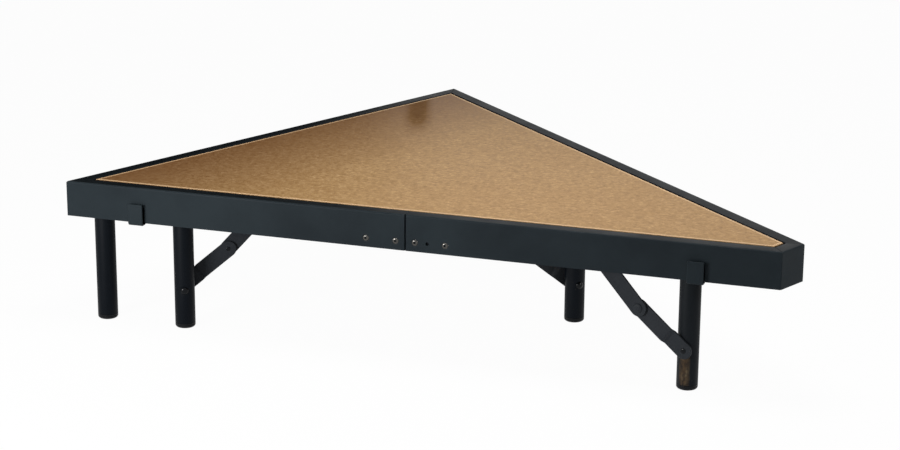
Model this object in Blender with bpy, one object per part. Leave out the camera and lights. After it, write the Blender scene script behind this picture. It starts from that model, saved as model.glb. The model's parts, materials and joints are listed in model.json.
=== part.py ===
"""Pie stage deck: a low wedge of staging on five folding legs.

The deck is a 45 degree slice of a circle with its tip cut off square. A board lies flush inside a rim
of folded sheet steel, and two angle bars cross the frame under the board. Every leg hangs in a U
bracket. Three of the legs have a two-link folding brace that stands just past its dead centre.

Units are metres, +Z is up, and the front rail runs along X. The origin is on the floor, under the
middle of the deck's bounding box.
"""

import math

import bpy
from mathutils import Matrix, Vector

# Deck plan
DECK_DEPTH = 0.9144  # from the cut tip to the outer rail, along the middle of the slice
TIP_ANGLE = math.radians(45)
TIP_WIDTH = 0.0508
DECK_HEIGHT = 0.2032

# Rim, folded from one sheet: web outside, flat top, a drop along the board and a ledge under it
RIM_HEIGHT = 0.049
RIM_WIDTH = 0.0196
RIM_SHEET = 0.0025
RIM_EDGE_RADIUS = 0.0022
LEDGE_WIDTH = 0.012

# Board
BOARD_THICKNESS = 0.0127
BOARD_GAP = 0.0008
BOARD_EDGE = 0.0006

# Splice in the middle of the front rail
SPLICE_LENGTH = 0.140
SPLICE_GAP = 0.0018  # between the ends of the two halves
SPLICE_TOP_DROP = 0.008  # from the deck's top to the plate, which ends at the web's lower edge
SPLICE_THICKNESS = 0.003
SPLICE_BOLT_SPACINGS = (0.027, 0.110)
SPLICE_BOLT_DROP = 0.0368
SPLICE_BOLT_RADIUS = 0.0026
SPLICE_HEAD_RADIUS = 0.0044
SPLICE_SPARE_HOLE_X = 0.0306
SPLICE_SPARE_HOLE_RADIUS = 0.0024

# Joining hooks on the front rail
HOOK_SPACING = 0.776
HOOK_WIDTH = 0.0215
HOOK_SHEET = 0.0025
HOOK_GAP = 0.0045
HOOK_TOP_DROP = 0.022
HOOK_BACK_HEIGHT = 0.016  # of the strap behind the web

# Angle bars that carry the braced legs
BAR_SHEET = 0.0025
BAR_DEPTH = 0.030
BAR_OVERHANG = 0.020

# Leg tubes and feet
TUBE_RADIUS = 0.014
TUBE_WALL = 0.0016
TUBE_TOP = 0.009  # tube above its hinge pin
FOOT_HEIGHT = 0.0065
FOOT_EDGE_RADIUS = 0.0042
FOOT_STEM = 0.014

# Hinge brackets and their pins
BRACKET_SHEET = 0.0025
BRACKET_BEND = 0.003
BRACKET_BACK = 0.016
BRACKET_FRONT = 0.022
CHEEK_RADIUS = 0.0105
PIN_RADIUS = 0.004
PIN_HEAD_RADIUS = 0.0065
PIN_HEAD_HEIGHT = 0.0022

# Braces
BRACE_PIVOT_HEIGHT = 0.055  # lower pivot above the floor
ANCHOR_BEYOND = 0.008  # anchor's place past the lower pivot when the leg lies folded
OVER_CENTRE = 0.0004  # spare length that lets the knee rest past its dead centre
LINK_THICKNESS = 0.003
LINK_RADIUS = 0.0112
RIVET_RADIUS = 0.0032
RIVET_HEAD_RADIUS = 0.0062
RIVET_HEAD_HEIGHT = 0.0020

# Clearances
SEAT = 0.0003  # between pieces that touch
RUNNING = 0.0003  # round a pin, and beside what turns
SWING = 0.0005  # round what sweeps past

LINK_JOGGLE = 0.0035  # the lower link's step away from the tube
JOGGLE_START = 0.024  # along the link from its pivot on the tube
JOGGLE_END = 0.030

# Braced legs, each placed from a rail: the rail's name, the share of the rail's length
# before the leg, the distance in from the rail's face, and the direction in which the foot swings,
# turned from the rail. side is the side of the tube that the brace lies on: +1 left, -1 right.
BRACED_LEGS = {
    "front_leg": {"rail": "front", "share": 0.1586, "inward": 0.038, "turn": 25, "side": 1},
    "middle_leg": {"rail": "back", "share": 0.3947, "inward": 0.1062, "turn": 90, "side": -1},
    "tip_leg": {"rail": "front", "share": 0.8785, "inward": 0.032, "turn": 170, "side": 1},
}
CORNER_LEG_FROM_OUTER_RAIL = 0.0208
CORNER_LEG_FROM_SIDE_RAIL = 0.037

# Worked out from the sizes above
HALF_TIP = TIP_ANGLE / 2
TIP_CUT = TIP_WIDTH / 2 / math.sin(HALF_TIP)
FRONT_LENGTH = DECK_DEPTH / math.cos(HALF_TIP)
SIDE = FRONT_LENGTH + TIP_CUT  # from the point where front and back rails would meet
APEX = Vector((FRONT_LENGTH / 2 + TIP_CUT, 0))
LEDGE_TOP = -(BOARD_THICKNESS + SEAT)
LEDGE_UNDER = LEDGE_TOP - RIM_SHEET
PLATE_TOP = LEDGE_UNDER - SEAT
PLATE_UNDER = PLATE_TOP - BRACKET_SHEET
HINGE_DROP = PLATE_UNDER - SWING - math.hypot(TUBE_RADIUS, TUBE_TOP)
LEG_PIVOT = DECK_HEIGHT + HINGE_DROP - BRACE_PIVOT_HEIGHT  # hinge pin to lower brace pivot
ANCHOR_X = LEG_PIVOT + ANCHOR_BEYOND
BRACE_REACH = math.hypot(ANCHOR_X, LEG_PIVOT)
LOWER_LINK = (BRACE_REACH + OVER_CENTRE - ANCHOR_BEYOND) / 2
UPPER_LINK = (BRACE_REACH + OVER_CENTRE + ANCHOR_BEYOND) / 2
CHEEK_INNER = TUBE_RADIUS + SWING
LOWER_LINK_SIDE = TUBE_RADIUS + SWING  # nearest face of each link to the tube's axis
UPPER_LINK_SIDE = LOWER_LINK_SIDE + LINK_JOGGLE + LINK_THICKNESS + SWING
BAR_SIDE = UPPER_LINK_SIDE + LINK_THICKNESS + SEAT + RIVET_HEAD_HEIGHT + SWING
BACK_CORNER = APEX + SIDE * Vector((-math.cos(TIP_ANGLE), math.sin(TIP_ANGLE)))
TIP_BACK = APEX + TIP_CUT * Vector((-math.cos(TIP_ANGLE), math.sin(TIP_ANGLE)))
OUTLINE = [
    Vector((-FRONT_LENGTH / 2, 0)),
    Vector((FRONT_LENGTH / 2, 0)),
    TIP_BACK,
    BACK_CORNER,
]
OUTLINE_RAILS = ("front", "tip", "back", "outer")  # each from its corner in OUTLINE to the next
HOOK_FRONT = HOOK_GAP + HOOK_SHEET
ORIGIN = Vector(
    (
        (OUTLINE[0].x + TIP_BACK.x) / 2,
        (BACK_CORNER.y - HOOK_FRONT) / 2,
        -DECK_HEIGHT,
    )
)
ROUND_SIDES = 32
SMALL_SIDES = 16


def clear_scene():
    for obj in list(bpy.data.objects):
        bpy.data.objects.remove(obj, do_unlink=True)


def material(name, colour, roughness, metallic):
    made = bpy.data.materials.new(name)
    made.use_nodes = True
    shader = made.node_tree.nodes["Principled BSDF"]
    shader.inputs["Base Color"].default_value = (*colour, 1)
    shader.inputs["Roughness"].default_value = roughness
    shader.inputs["Metallic"].default_value = metallic
    return made


def frame(name, place, turn=0.0, parent=None, axis="Z"):
    """An empty: the local frame of a sub-assembly, turned about one of its parent's axes."""
    empty = bpy.data.objects.new(name, None)
    bpy.context.scene.collection.objects.link(empty)
    empty.parent = parent
    empty.matrix_local = Matrix.Translation(place) @ Matrix.Rotation(turn, 4, axis)
    return empty


def solid(name, points, faces, finish, parent, place=(0, 0, 0), turned=None, helper=False):
    """One closed object from points and faces; turned is a rotation matrix."""
    mesh = bpy.data.meshes.new(name)
    mesh.from_pydata([tuple(p) for p in points], [], faces)
    mesh.validate()
    if finish:
        mesh.materials.append(finish)
    mesh.shade_smooth()
    mesh.set_sharp_from_angle(angle=math.radians(35))
    obj = bpy.data.objects.new(name, mesh)
    bpy.context.scene.collection.objects.link(obj)
    obj.parent = parent
    obj.matrix_local = Matrix.Translation(place) @ (turned or Matrix.Identity(4))
    if helper:
        obj.hide_render = True
        obj.display_type = "WIRE"
    return obj


def lofted(rings):
    """Points and faces that join rings of as many points, with the first and last ring closed.

    The rings run anticlockwise seen from the last one.
    """
    count = len(rings[0])
    points = [p for ring in rings for p in ring]
    faces = [tuple(reversed(range(count)))]
    for level in range(len(rings) - 1):
        low = level * count
        for i in range(count):
            j = (i + 1) % count
            faces.append((low + i, low + j, low + count + j, low + count + i))
    faces.append(tuple(range((len(rings) - 1) * count, len(rings) * count)))
    return points, faces


def prism(outline, low, high):
    """A flat outline in XY, anticlockwise, raised from low to high."""
    return lofted([[Vector((x, y, z)) for x, y in outline] for z in (low, high)])


def turned_solid(profile, sides):
    """A profile of (radius, z), listed upwards, turned about Z and closed flat at both ends."""
    rings = []
    for radius, z in profile:
        angles = (2 * math.pi * i / sides for i in range(sides))
        rings.append([Vector((radius * math.cos(a), radius * math.sin(a), z)) for a in angles])
    return lofted(rings)


def arc(centre, radius, start, end, steps):
    """Points along an arc, angles in degrees."""
    found = []
    for i in range(steps + 1):
        angle = math.radians(start + (end - start) * i / steps)
        found.append((centre[0] + radius * math.cos(angle), centre[1] + radius * math.sin(angle)))
    return found


def boolean(obj, cutter, operation="DIFFERENCE"):
    step = obj.modifiers.new(cutter.name, "BOOLEAN")
    step.operation = operation
    step.object = cutter


def bevel(obj, width, segments=2):
    step = obj.modifiers.new("edges", "BEVEL")
    step.width = width
    step.segments = segments
    step.limit_method = "ANGLE"
    step.angle_limit = math.radians(40)


ALONG_Y = Matrix.Rotation(math.radians(-90), 4, "X")  # turns a +Z solid to point along +Y


def hole(obj, centre, radius, length, parent, name):
    """A round hole along Y, centred at centre."""
    points, faces = turned_solid([(radius, -length / 2), (radius, length / 2)], SMALL_SIDES)
    cutter = solid(name, points, faces, None, parent, centre, ALONG_Y, helper=True)
    boolean(obj, cutter)


def domed(radius, height, z, out):
    """Profile of a domed head: its flat side at z, its crown height further along out (+1 or -1)."""
    steps = ((1.0, 0.0), (0.97, 0.35), (0.80, 0.72), (0.48, 0.94), (0.16, 1.0))
    return [(radius * r, z + out * height * h) for r, h in steps]


def rivet(low, high, radius, low_head=None, high_head=None):
    """Profile of a rivet along Z from low to high, with a (radius, height) head or a flush end."""
    profile = []
    if low_head:
        profile += reversed(domed(low_head[0], low_head[1], low, -1))
    profile += [(radius, low), (radius, high)]
    if high_head:
        profile += domed(high_head[0], high_head[1], high, 1)
    return profile


def inset_corner(index, from_before, from_after):
    """The point inside an outline's corner at these distances from the edges before and after it."""
    here = OUTLINE[index]
    before = (OUTLINE[index - 1] - here).normalized()
    after = (OUTLINE[(index + 1) % len(OUTLINE)] - here).normalized()
    return here + (before * from_after + after * from_before) / abs(before.cross(after))


def edge_direction(index):
    return (OUTLINE[(index + 1) % len(OUTLINE)] - OUTLINE[index]).normalized()


def left_of(direction):
    return Vector((-direction.y, direction.x))


def rim_section():
    """The folded rim's section, as (distance in from the web's face, z)."""
    edge = RIM_EDGE_RADIUS
    fold = RIM_SHEET
    inner = RIM_WIDTH - fold
    section = [(0, -RIM_HEIGHT)]
    section += arc((edge, -edge), edge, 180, 90, 4)
    section += arc((RIM_WIDTH - edge / 2, -edge / 2), edge / 2, 90, 0, 3)
    section += [(RIM_WIDTH, LEDGE_TOP), (RIM_WIDTH + LEDGE_WIDTH, LEDGE_TOP)]
    section += [(RIM_WIDTH + LEDGE_WIDTH, LEDGE_UNDER)]
    section += arc((RIM_WIDTH, LEDGE_TOP), fold, 270, 180, 3)
    section += [(inner, -fold), (fold, -fold), (fold, -RIM_HEIGHT)]
    return section[::-1]


def rail(name, start, end, start_angle, end_angle, finish, parent):
    """A length of rim between two plan points; each end is mitred to half of its corner's angle."""
    along = (end - start).normalized()
    inward = Vector((-along.y, along.x))
    rings = []
    for corner, angle, step in ((start, start_angle, 1), (end, end_angle, -1)):
        gap = SPLICE_GAP if angle == math.pi else SEAT
        ring = []
        for distance, z in rim_section():
            back = distance / math.tan(angle / 2) + gap / 2
            place = corner + inward * distance + along * step * back
            ring.append(Vector((place.x, place.y, z)))
        rings.append(ring)
    points, faces = lofted(rings)
    return solid(name, points, faces, finish, parent)


def build_rim(deck, steel):
    corner_angle = {0: math.pi / 2 - HALF_TIP, 1: math.pi / 2 + HALF_TIP}
    corner_angle[2] = corner_angle[1]
    corner_angle[3] = corner_angle[0]
    middle = (OUTLINE[0] + OUTLINE[1]) / 2
    square = math.pi
    left = rail("front_rail_left", OUTLINE[0], middle, corner_angle[0], square, steel, deck)
    right = rail("front_rail_right", middle, OUTLINE[1], square, corner_angle[1], steel, deck)
    for name, i in (("tip_rail", 1), ("back_rail", 2), ("outer_rail", 3)):
        j = (i + 1) % len(OUTLINE)
        rail(name, OUTLINE[i], OUTLINE[j], corner_angle[i], corner_angle[j], steel, deck)
    return left, right


def build_board(deck, wood):
    inset = RIM_WIDTH + BOARD_GAP
    outline = [inset_corner(i, inset, inset) for i in range(len(OUTLINE))]
    points, faces = prism(outline, -BOARD_THICKNESS, 0)
    board = solid("deck_board", points, faces, wood, deck)
    bevel(board, BOARD_EDGE, 1)


def build_splice(deck, rails, steel, plated):
    """A plate behind the web joins the two halves of the front rail with four rivets."""
    half = SPLICE_LENGTH / 2
    low, high = -RIM_HEIGHT, -SPLICE_TOP_DROP
    near = RIM_SHEET + SEAT
    far = near + SPLICE_THICKNESS
    outline = [(-half, near), (half, near), (half, far), (-half, far)]
    points, faces = prism(outline, low, high)
    plate = solid("splice_plate", points, faces, steel, deck)
    bolts = [side * space / 2 for space in SPLICE_BOLT_SPACINGS for side in (-1, 1)]
    holes = [(x, SPLICE_BOLT_RADIUS + RUNNING) for x in sorted(bolts)]
    holes.append((SPLICE_SPARE_HOLE_X, SPLICE_SPARE_HOLE_RADIUS))
    for number, (x, radius) in enumerate(holes, 1):
        centre = (x, far / 2, -SPLICE_BOLT_DROP)
        length = 4 * far
        hole(plate, centre, radius, length, deck, f"cut_splice_{number}")
        hole(rails[x > 0], centre, radius, length, deck, f"cut_front_rail_{number}")
    head = (SPLICE_HEAD_RADIUS, PIN_HEAD_HEIGHT)
    profile = rivet(-SEAT, far + SEAT, SPLICE_BOLT_RADIUS, head, head)
    for number, x in enumerate(sorted(bolts), 1):
        points, faces = turned_solid(profile, SMALL_SIDES)
        place = (x, 0, -SPLICE_BOLT_DROP)
        solid(f"splice_rivet_{number}", points, faces, plated, deck, place, ALONG_Y)


def build_hook(name, x, deck, steel):
    """A strap bent round the web's lower edge: its tab stands off the web and opens upwards."""
    under = -RIM_HEIGHT - SEAT
    back = RIM_SHEET + SEAT
    bend = HOOK_SHEET * 1.4
    corner = (-HOOK_FRONT + bend, under - HOOK_SHEET + bend)
    section = [(back + HOOK_SHEET, under - HOOK_SHEET), (back + HOOK_SHEET, under + HOOK_BACK_HEIGHT)]
    section += [(back, under + HOOK_BACK_HEIGHT), (back, under), (-HOOK_GAP, under)]
    section += [(-HOOK_GAP, -HOOK_TOP_DROP), (-HOOK_FRONT, -HOOK_TOP_DROP)]
    section += arc(corner, bend, 180, 270, 4)
    rings = []
    for side in (-1, 1):
        rings.append([Vector((x + side * HOOK_WIDTH / 2, y, z)) for y, z in section])
    points, faces = lofted(rings)
    return solid(name, points, faces, steel, deck)


def bar_section(side, top):
    """Section of a leg's angle bar as (distance across, z): its flat on top, its web by the links."""
    web = side * BAR_SIDE
    outer = side * (BAR_SIDE + BAR_SHEET)
    lip = -side * BAR_OVERHANG
    foot = LEDGE_TOP - BAR_DEPTH
    section = [(lip, top - BAR_SHEET), (web, top - BAR_SHEET), (web, foot), (outer, foot)]
    section += [(outer, top), (lip, top)]
    return section if side > 0 else section[::-1]


def edge_cut(index, distance):
    """A line parallel to the outline's edge, in from it: a point and the inward normal."""
    inward = left_of(edge_direction(index))
    return OUTLINE[index] + inward * distance, inward


def leg_place(leg):
    """A braced leg's place in plan and the direction in which it folds."""
    index = OUTLINE_RAILS.index(leg["rail"])
    start, along = OUTLINE[index], edge_direction(index)
    length = (OUTLINE[(index + 1) % len(OUTLINE)] - start).length
    place = start + along * leg["share"] * length + left_of(along) * leg["inward"]
    fold = along.copy()
    fold.rotate(Matrix.Rotation(math.radians(leg["turn"]), 2))
    return place, fold


def build_bar(name, leg, top, start, end, deck, steel):
    """An angle bar along a braced leg's fold direction, between two cut lines in plan."""
    foot, along = leg_place(leg)
    across = left_of(along)
    rings = []
    for point, normal in (start, end):
        ring = []
        for v, z in bar_section(leg["side"], top):
            on_side = foot + across * v
            reach = (point - on_side).dot(normal) / along.dot(normal)
            place = on_side + along * reach
            ring.append(Vector((place.x, place.y, z)))
        rings.append(ring)
    points, faces = lofted(rings)
    return solid(name, points, faces, steel, deck)


def build_bars(deck, steel):
    """Two bars lie against the board, and a short one hangs under the front rail's ledge."""
    reach = RIM_WIDTH + LEDGE_WIDTH + SEAT
    front = edge_cut(0, reach)
    back = edge_cut(2, reach)
    middle = BRACED_LEGS["middle_leg"]
    build_bar("middle_leg_bar", middle, LEDGE_TOP, back, front, deck, steel)
    foot, along = leg_place(middle)
    across = left_of(along)
    meeting = (foot - across * (BAR_SIDE + BAR_SHEET + SEAT), across)
    build_bar("front_leg_bar", BRACED_LEGS["front_leg"], LEDGE_TOP, front, meeting, deck, steel)
    leg = BRACED_LEGS["tip_leg"]
    foot, along = leg_place(leg)
    anchor = foot + along * ANCHOR_X
    ends = [(anchor + along * step * 2 * LINK_RADIUS, along) for step in (-1, 1)]
    build_bar("tip_leg_bar", leg, PLATE_TOP, ends[0], ends[1], deck, steel)


def build_bracket(name, hinge, steel):
    """A U of sheet: a plate on top and two cheeks with round ends about the pin."""
    inner = CHEEK_INNER
    outer = inner + BRACKET_SHEET
    top = PLATE_TOP - HINGE_DROP
    under = PLATE_UNDER - HINGE_DROP
    bend = BRACKET_BEND
    foot = -2 * CHEEK_RADIUS
    section = [(-outer, foot), (-inner, foot), (-inner, under), (inner, under), (inner, foot)]
    section += [(outer, foot)] + arc((outer - bend, top - bend), bend, 0, 90, 3)
    section += arc((-outer + bend, top - bend), bend, 90, 180, 3)
    rings = []
    for x in (-BRACKET_BACK, BRACKET_FRONT):
        rings.append([Vector((x, y, z)) for y, z in section])
    points, faces = lofted(rings)
    bracket = solid(name, points, faces, steel, hinge)
    side = [(-BRACKET_BACK, under - bend), (-CHEEK_RADIUS, 0)]
    side += arc((0, 0), CHEEK_RADIUS, 180, 360, 10)[1:]
    side += [(BRACKET_FRONT, under - bend), (BRACKET_FRONT, 2 * top), (-BRACKET_BACK, 2 * top)]
    rings = [[Vector((x, y, z)) for x, z in side] for y in (2 * outer, -2 * outer)]
    points, faces = lofted(rings)
    shape = solid(f"shape_{name}", points, faces, None, hinge, helper=True)
    boolean(bracket, shape, "INTERSECT")
    hole(bracket, (0, 0, 0), PIN_RADIUS + RUNNING, 4 * outer, hinge, f"cut_{name}")


def build_leg_tube(name, hinge, braced, steel):
    bottom = -(DECK_HEIGHT + HINGE_DROP) + FOOT_HEIGHT + SEAT
    bore = TUBE_RADIUS - TUBE_WALL
    points, faces = turned_solid([(TUBE_RADIUS, bottom), (TUBE_RADIUS, TUBE_TOP)], ROUND_SIDES)
    tube = solid(f"{name}_tube", points, faces, steel, hinge)
    length = 3 * (TUBE_TOP - bottom)
    points, faces = turned_solid([(bore, -length), (bore, length)], ROUND_SIDES)
    inside = solid(f"bore_{name}", points, faces, None, hinge, helper=True)
    boolean(tube, inside)
    across = 4 * TUBE_RADIUS
    hole(tube, (0, 0, 0), PIN_RADIUS + RUNNING, across, hinge, f"cut_{name}_hinge")
    if braced:
        pivot = (0, 0, -LEG_PIVOT)
        hole(tube, pivot, RIVET_RADIUS + RUNNING, across, hinge, f"cut_{name}_pivot")


def build_foot(name, hinge, rubber):
    """A plug: a stem in the tube and a rounded pad the width of the tube."""
    floor = -(DECK_HEIGHT + HINGE_DROP)
    stem = TUBE_RADIUS - TUBE_WALL - SEAT
    edge = FOOT_EDGE_RADIUS
    pad = arc((TUBE_RADIUS - edge, floor + edge), edge, 270, 360, 4)
    profile = pad + [(TUBE_RADIUS, floor + FOOT_HEIGHT), (stem, floor + FOOT_HEIGHT)]
    profile += [(stem, floor + FOOT_HEIGHT + FOOT_STEM)]
    points, faces = turned_solid(profile, ROUND_SIDES)
    solid(f"{name}_foot", points, faces, rubber, hinge)


def facing(side):
    """Turns a +Z solid to point along Y, to a leg's brace side."""
    return Matrix.Rotation(math.radians(-90 * side), 4, "X")


def build_hinge_pin(name, hinge, side, steel):
    """A pin through both cheeks, with its head away from the brace or the nearest rail."""
    outer = CHEEK_INNER + BRACKET_SHEET + SEAT
    head = (PIN_HEAD_RADIUS, PIN_HEAD_HEIGHT)
    points, faces = turned_solid(rivet(-outer, outer, PIN_RADIUS, low_head=head), SMALL_SIDES)
    solid(f"{name}_hinge_pin", points, faces, steel, hinge, turned=facing(side))


def link_outline(length):
    """A flat link in the XZ plane from its first pivot at 0 to its second at +X."""
    first = arc((0, 0), LINK_RADIUS, 90, 270, 10)
    second = arc((length, 0), LINK_RADIUS, -90, 90, 10)
    return first + second


def strip_section(length, near, step):
    """A strip's edge view in XY: its near face at near, moved out by step past the joggle."""
    far = LINK_THICKNESS
    ends = (-2 * LINK_RADIUS, length + 2 * LINK_RADIUS)
    line = [(ends[0], 0), (JOGGLE_START, 0), (JOGGLE_END, step), (ends[1], step)]
    side = math.copysign(1, near)
    section = [(x, near + side * y) for x, y in line]
    section += [(x, near + side * (y + far)) for x, y in reversed(line)]
    return section if side > 0 else section[::-1]


def build_link(name, pivot, length, near, step, steel):
    """A link with round ends, cut from a strip whose thickness lies along Y from near."""
    points, faces = prism(strip_section(length, near, step), -2 * LINK_RADIUS, 2 * LINK_RADIUS)
    link = solid(name, points, faces, steel, pivot)
    reach = 2 * (abs(near) + step + LINK_THICKNESS)
    rings = [[Vector((x, y, z)) for x, z in link_outline(length)] for y in (reach, -reach)]
    points, faces = lofted(rings)
    shape = solid(f"shape_{name}", points, faces, None, pivot, helper=True)
    boolean(link, shape, "INTERSECT")
    for number, x in enumerate((0, length), 1):
        hole(link, (x, 0, 0), RIVET_RADIUS + RUNNING, 2 * reach, pivot, f"cut_{name}_{number}")


def knee_place():
    """The knee at rest, from the hinge pin in the fold plane: past dead centre, away from the pin."""
    lower = Vector((0, -LEG_PIVOT))
    anchor = Vector((ANCHOR_X, 0))
    straight = anchor - lower
    span = straight.length
    along = (LOWER_LINK**2 - UPPER_LINK**2 + span**2) / (2 * span)
    aside = math.sqrt(LOWER_LINK**2 - along**2)
    unit = straight / span
    return lower + unit * along + Vector((unit.y, -unit.x)) * aside


def pivot_frame(name, hinge, place, target):
    """An empty on a brace pivot whose X points at target in the fold plane."""
    aim = math.atan2(target.y - place.y, target.x - place.x)
    return frame(name, (place.x, 0, place.y), -aim, hinge, "Y")


def build_brace(name, hinge, leg, bar, steel):
    """Two links: the lower one turns on the leg, the upper one on the bar."""
    side = leg["side"]
    lower = Vector((0, -LEG_PIVOT))
    anchor = Vector((ANCHOR_X, 0))
    knee = knee_place()
    lower_pivot = pivot_frame(f"{name}_lower_pivot", hinge, lower, knee)
    upper_pivot = pivot_frame(f"{name}_upper_pivot", hinge, anchor, knee)
    near = side * LOWER_LINK_SIDE
    build_link(f"{name}_lower_link", lower_pivot, LOWER_LINK, near, LINK_JOGGLE, steel)
    near = side * UPPER_LINK_SIDE
    build_link(f"{name}_upper_link", upper_pivot, UPPER_LINK, near, 0, steel)
    head = (RIVET_HEAD_RADIUS, RIVET_HEAD_HEIGHT)

    flush = LOWER_LINK_SIDE + LINK_THICKNESS
    profile = rivet(-TUBE_RADIUS - SEAT, flush, RIVET_RADIUS, low_head=head)
    points, faces = turned_solid(profile, SMALL_SIDES)
    place = (0, 0, -LEG_PIVOT)
    solid(f"{name}_brace_rivet", points, faces, steel, hinge, place, facing(side))

    outer = UPPER_LINK_SIDE + LINK_THICKNESS + SEAT
    profile = rivet(UPPER_LINK_SIDE, outer, RIVET_RADIUS, high_head=head)
    points, faces = turned_solid(profile, SMALL_SIDES)
    place = (UPPER_LINK, 0, 0)
    solid(f"{name}_knee_rivet", points, faces, steel, upper_pivot, place, facing(side))

    outer = BAR_SIDE + BAR_SHEET + SEAT
    profile = rivet(UPPER_LINK_SIDE, outer, RIVET_RADIUS, high_head=head)
    points, faces = turned_solid(profile, SMALL_SIDES)
    place = (ANCHOR_X, 0, 0)
    solid(f"{name}_anchor_pin", points, faces, steel, hinge, place, facing(side))
    centre = (ANCHOR_X, side * BAR_SIDE, 0)
    hole(bar, centre, RIVET_RADIUS + RUNNING, 4 * BAR_SHEET, hinge, f"cut_{name}_bar")


def build_leg(name, foot, fold, side, braced, deck, steel, rubber):
    """A leg that stands at foot, swings towards fold and has its brace or nearest rail on that side."""
    turn = math.atan2(fold.y, fold.x)
    hinge = frame(f"{name}_hinge", (foot.x, foot.y, HINGE_DROP), turn, deck)
    build_bracket(f"{name}_bracket", hinge, steel)
    build_hinge_pin(name, hinge, side, steel)
    build_leg_tube(name, hinge, braced, steel)
    build_foot(name, hinge, rubber)
    return hinge


def main():
    clear_scene()
    steel = material("black_coated_steel", (0.030, 0.034, 0.038), 0.42, 0.0)
    plated = material("plated_steel", (0.55, 0.54, 0.52), 0.30, 1.0)
    wood = material("hardboard", (0.42, 0.25, 0.12), 0.55, 0.0)
    rubber = material("black_foot_plastic", (0.022, 0.022, 0.024), 0.60, 0.0)
    deck = frame("deck_frame", -ORIGIN)

    rails = build_rim(deck, steel)
    build_board(deck, wood)
    build_splice(deck, rails, steel, plated)
    for name, side in (("joining_hook_left", -1), ("joining_hook_right", 1)):
        build_hook(name, side * HOOK_SPACING / 2, deck, steel)
    build_bars(deck, steel)

    bars = {
        "front_leg": bpy.data.objects["front_leg_bar"],
        "middle_leg": bpy.data.objects["middle_leg_bar"],
        "tip_leg": bpy.data.objects["tip_leg_bar"],
    }
    for name, leg in BRACED_LEGS.items():
        hinge = build_leg(name, *leg_place(leg), leg["side"], True, deck, steel, rubber)
        build_brace(name, hinge, leg, bars[name], steel)
    outer, side = CORNER_LEG_FROM_OUTER_RAIL, CORNER_LEG_FROM_SIDE_RAIL
    to_apex = -edge_direction(3)
    foot = inset_corner(0, outer, side)
    build_leg("front_corner_leg", foot, to_apex, 1, False, deck, steel, rubber)
    foot = inset_corner(3, side, outer)
    build_leg("back_corner_leg", foot, -to_apex, -1, False, deck, steel, rubber)


main()
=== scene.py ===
# %% [markdown]
# A pie stage deck in cells. The real object is a low wedge of staging: a hardboard panel lies flush
# in a rim of folded, powder coated steel, and five short tube legs fold up under it.
# The CAD model already gives the sizes, the joints and the hidden brackets, so it is loaded first
# and never changed. Each cell after that makes one visible piece or one finish.

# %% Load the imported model
import json
import math

import bpy
import numpy as np
from mathutils import Matrix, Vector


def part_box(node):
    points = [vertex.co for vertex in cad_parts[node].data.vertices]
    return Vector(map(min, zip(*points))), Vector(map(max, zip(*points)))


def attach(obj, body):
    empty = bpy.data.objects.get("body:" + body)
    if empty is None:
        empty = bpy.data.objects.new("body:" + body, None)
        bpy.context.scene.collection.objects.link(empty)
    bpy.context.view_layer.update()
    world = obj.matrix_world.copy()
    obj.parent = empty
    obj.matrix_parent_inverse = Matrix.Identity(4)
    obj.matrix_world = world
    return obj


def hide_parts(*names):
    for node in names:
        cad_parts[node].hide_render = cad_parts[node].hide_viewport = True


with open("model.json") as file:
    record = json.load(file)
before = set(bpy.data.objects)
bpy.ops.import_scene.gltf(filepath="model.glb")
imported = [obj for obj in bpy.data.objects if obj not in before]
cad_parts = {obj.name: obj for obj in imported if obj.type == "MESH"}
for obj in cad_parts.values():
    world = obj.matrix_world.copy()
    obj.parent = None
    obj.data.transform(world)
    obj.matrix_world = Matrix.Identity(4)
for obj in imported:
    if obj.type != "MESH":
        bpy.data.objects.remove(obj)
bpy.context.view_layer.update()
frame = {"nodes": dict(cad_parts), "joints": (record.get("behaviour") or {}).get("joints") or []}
MM = 0.001
joints = {joint["name"]: joint for joint in frame["joints"]}

# %% [markdown]
# The camera stands low in front and to the right, as the photographer did. Its place came from
# fitting the rim's corners and the feet, so the lens, the height and the small roll are fixed values.
# A camera can be aimed with Track To, but writing its three axes into a matrix keeps the fitted roll.

# %% Camera at the photograph's viewpoint
CAMERA_PLACE = (0.9416, -2.9967, 0.9874)
CAMERA_YAW = math.radians(19.08)
CAMERA_PITCH = math.radians(15.94)
CAMERA_ROLL = math.radians(0.33)
FOCAL_PIXELS = 2228
PICTURE_WIDTH = 900
AXIS_PIXEL_X = 436  # where the lens axis meets the picture
SENSOR = 36.0


def camera_axes(yaw, pitch, roll):
    """Right, up and backward unit vectors: turn by yaw about Z, tip down by pitch, roll about the view."""
    forward = np.array(
        [
            -math.sin(yaw) * math.cos(pitch),
            math.cos(yaw) * math.cos(pitch),
            -math.sin(pitch),
        ]
    )
    right = np.array([math.cos(yaw), math.sin(yaw), 0.0])
    up = np.cross(right, forward)
    rolled = right * math.cos(roll) + up * math.sin(roll)
    return rolled, np.cross(rolled, forward), -forward


lens = bpy.data.cameras.new("photo_camera")
lens.sensor_width = SENSOR
lens.lens = FOCAL_PIXELS / PICTURE_WIDTH * SENSOR
lens.shift_x = (PICTURE_WIDTH / 2 - AXIS_PIXEL_X) / PICTURE_WIDTH
lens.clip_end = 50
camera = bpy.data.objects.new("photo_camera", lens)
bpy.context.scene.collection.objects.link(camera)
pose = np.eye(4)
pose[:3, :3] = np.column_stack(camera_axes(CAMERA_YAW, CAMERA_PITCH, CAMERA_ROLL))
pose[:3, 3] = CAMERA_PLACE
camera.matrix_world = Matrix(pose.tolist())
bpy.context.scene.camera = camera
print("lens", round(lens.lens, 2), "mm, shift", round(lens.shift_x, 4))

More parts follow.
